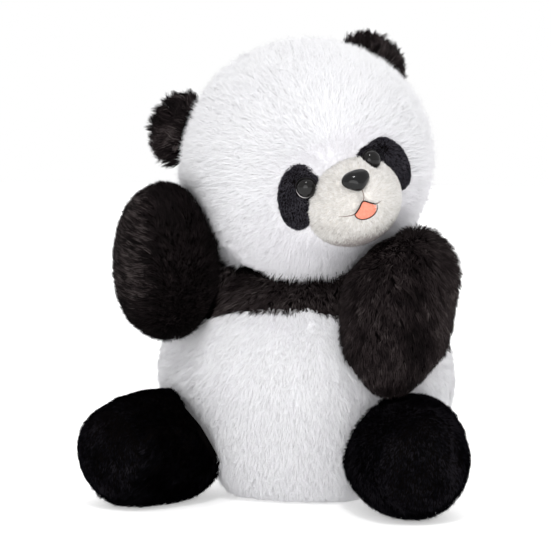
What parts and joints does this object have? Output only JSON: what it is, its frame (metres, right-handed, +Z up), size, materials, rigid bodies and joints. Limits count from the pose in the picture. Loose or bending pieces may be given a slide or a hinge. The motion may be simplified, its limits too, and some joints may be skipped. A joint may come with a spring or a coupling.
{
  "type": "plush panda",
  "caption": "Seated plush panda with one arm raised beside its head; head, arms and legs each turn on a hidden disc joint in the body.",
  "frame": {"origin": "middle of the flat seat that the toy rests on", "axes": "+Z up, the toy's body faces -Y, its own left side is +X"},
  "size_m": [0.2316, 0.1831, 0.2799],
  "materials": {
    "white_plush": "long white plush pile",
    "cream_plush": "short cream-white plush pile",
    "black_plush": "long brown-black plush pile",
    "black_velvet": "short blue-black plush pile",
    "stuffing": "loose polyester fibre",
    "pellet_cloth": "plain woven cloth",
    "pink_felt": "thin coral felt",
    "black_thread": "twisted thread",
    "eye_plastic": "glossy brown-black",
    "nose_plastic": "satin gloss black",
    "joint_plastic": "matt natural white"
  },
  "bodies": {
    "torso": {"chest_cover": "black_plush", "belly_cover": "white_plush", "torso_stuffing": "stuffing", "pellet_bag": "pellet_cloth", "tail": "white_plush", "neck_washer": "joint_plastic", "neck_lock_ring": "joint_plastic", "shoulder_right_washer": "joint_plastic", "shoulder_right_lock_ring": "joint_plastic", "shoulder_left_washer": "joint_plastic", "shoulder_left_lock_ring": "joint_plastic", "hip_right_washer": "joint_plastic", "hip_right_lock_ring": "joint_plastic", "hip_left_washer": "joint_plastic", "hip_left_lock_ring": "joint_plastic"},
    "head": {"head_cover": "white_plush", "head_stuffing": "stuffing", "muzzle_cover": "cream_plush", "muzzle_stuffing": "stuffing", "eye_patch_right": "black_velvet", "eye_patch_left": "black_velvet", "eye_right": "eye_plastic", "eye_left": "eye_plastic", "eye_washer_right": "joint_plastic", "eye_washer_left": "joint_plastic", "nose": "nose_plastic", "nose_washer": "joint_plastic", "tongue": "pink_felt", "mouth_stitching": "black_thread", "ear_right_front": "black_plush", "ear_right_back": "black_plush", "ear_left_front": "black_plush", "ear_left_back": "black_plush", "neck_disc": "joint_plastic"},
    "arm_right": {"arm_right_cover": "black_plush", "arm_right_stuffing": "stuffing", "shoulder_right_disc": "joint_plastic"},
    "arm_left": {"arm_left_cover": "black_plush", "arm_left_stuffing": "stuffing", "shoulder_left_disc": "joint_plastic"},
    "leg_right": {"leg_right_cover": "black_plush", "foot_right_sole": "black_velvet", "leg_right_stuffing": "stuffing", "hip_right_disc": "joint_plastic"},
    "leg_left": {"leg_left_cover": "black_plush", "foot_left_sole": "black_velvet", "leg_left_stuffing": "stuffing", "hip_left_disc": "joint_plastic"}
  },
  "joints": [
    {"name": "neck_turn", "type": "hinge", "parent": "torso", "child": "head", "pos_m": [0.002, -0.007, 0.142], "axis": [0.0403, -0.1289, 0.9908], "range_deg": [-50, 0]},
    {"name": "shoulder_right", "type": "hinge", "parent": "torso", "child": "arm_right", "pos_m": [-0.0555, -0.033, 0.132], "axis": [-0.7071, -0.7071, 0], "range_deg": [-120, 10]},
    {"name": "shoulder_left", "type": "hinge", "parent": "torso", "child": "arm_left", "pos_m": [0.0555, -0.033, 0.132], "axis": [-0.7071, 0.7071, 0], "range_deg": [0, 55]},
    {"name": "hip_right", "type": "hinge", "parent": "torso", "child": "leg_right", "pos_m": [-0.0592, -0.031, 0.04], "axis": [-0.7912, -0.3522, -0.5], "range_deg": [0, 30]},
    {"name": "hip_left", "type": "hinge", "parent": "torso", "child": "leg_left", "pos_m": [0.0592, -0.031, 0.04], "axis": [-0.7912, 0.3522, 0.5], "range_deg": [0, 6]}
  ]
}
